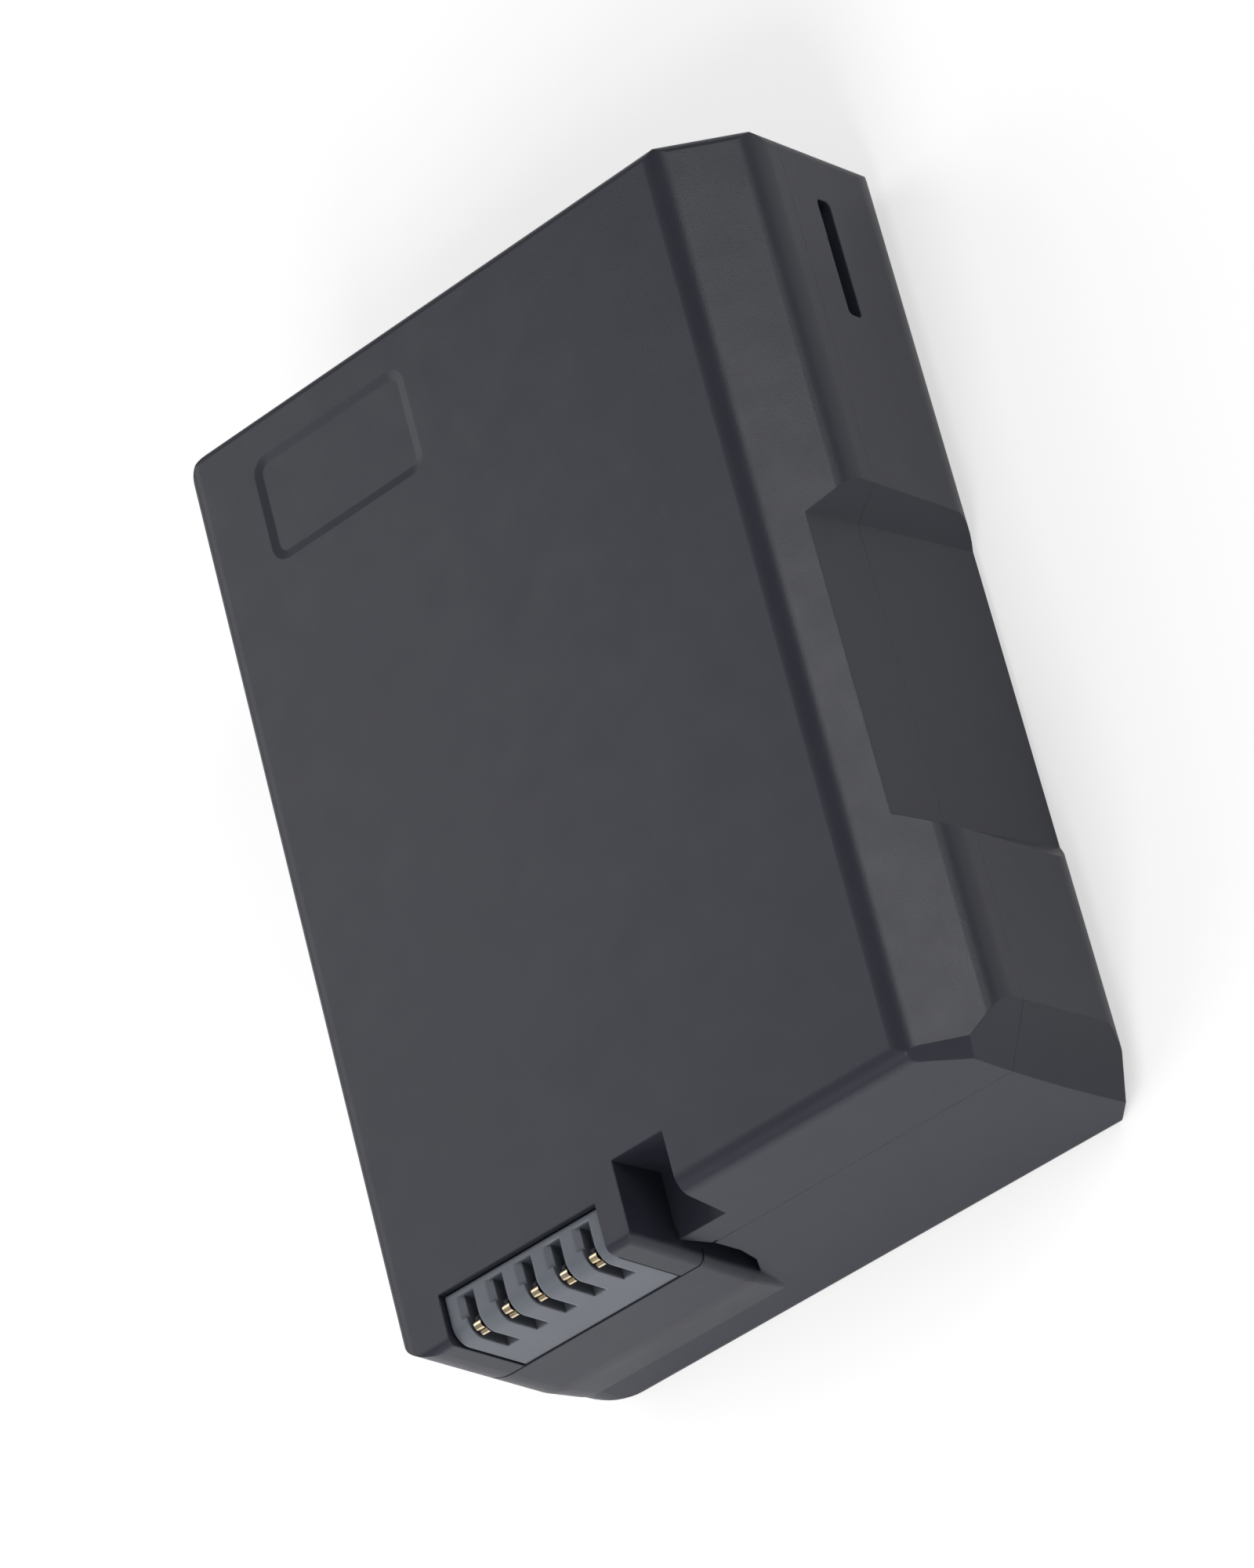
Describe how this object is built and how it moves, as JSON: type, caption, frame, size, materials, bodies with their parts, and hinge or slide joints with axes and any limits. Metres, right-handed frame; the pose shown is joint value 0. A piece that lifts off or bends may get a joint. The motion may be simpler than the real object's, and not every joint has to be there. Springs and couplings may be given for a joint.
{
  "type": "camera battery",
  "caption": "Flat rechargeable camera battery pack: moulded two-half case with a chamfered guide side, keying notch and a slotted terminal block at one end.",
  "frame": {"origin": "middle of the pack's bounding box at its flat back face", "axes": "+Y along the length away from the contact end, +X towards the chamfered guide side, +Z from the back face to the front face"},
  "size_m": [0.0372, 0.0524, 0.014],
  "materials": {
    "case": "fine moulded texture, charcoal",
    "terminal_plastic": "smooth moulded, blue-grey",
    "contact_metal": "gold plated",
    "board": "green solder mask",
    "component": "moulded component body",
    "cell_can": "drawn can",
    "nickel": "nickel strip",
    "insulation": "insulating paper",
    "tape": "adhesive tape",
    "foam": "closed-cell foam",
    "gasket_plastic": "sealing ring"
  },
  "bodies": {
    "root": {"front_case": "case", "back_case": "case", "terminal_block": "terminal_plastic", "contact_1": "contact_metal", "contact_2": "contact_metal", "contact_3": "contact_metal", "contact_4": "contact_metal", "contact_5": "contact_metal", "circuit_board": "board", "protection_chip": "component", "identity_chip": "component", "switch_pair": "component", "sense_resistor": "component", "thermistor": "component", "filter_capacitor": "component", "bypass_capacitor": "component", "left_cell": "cell_can", "right_cell": "cell_can", "left_gasket": "gasket_plastic", "right_gasket": "gasket_plastic", "left_rivet": "nickel", "right_rivet": "nickel", "left_lid_plate": "nickel", "right_lid_plate": "nickel", "left_cell_tape": "tape", "right_cell_tape": "tape", "lid_card": "insulation", "cell_spacer": "insulation", "negative_strip": "nickel", "series_strip": "nickel", "positive_strip": "nickel", "board_strip": "nickel", "thermal_cutoff": "component", "foam_pad": "foam"}
  },
  "joints": []
}
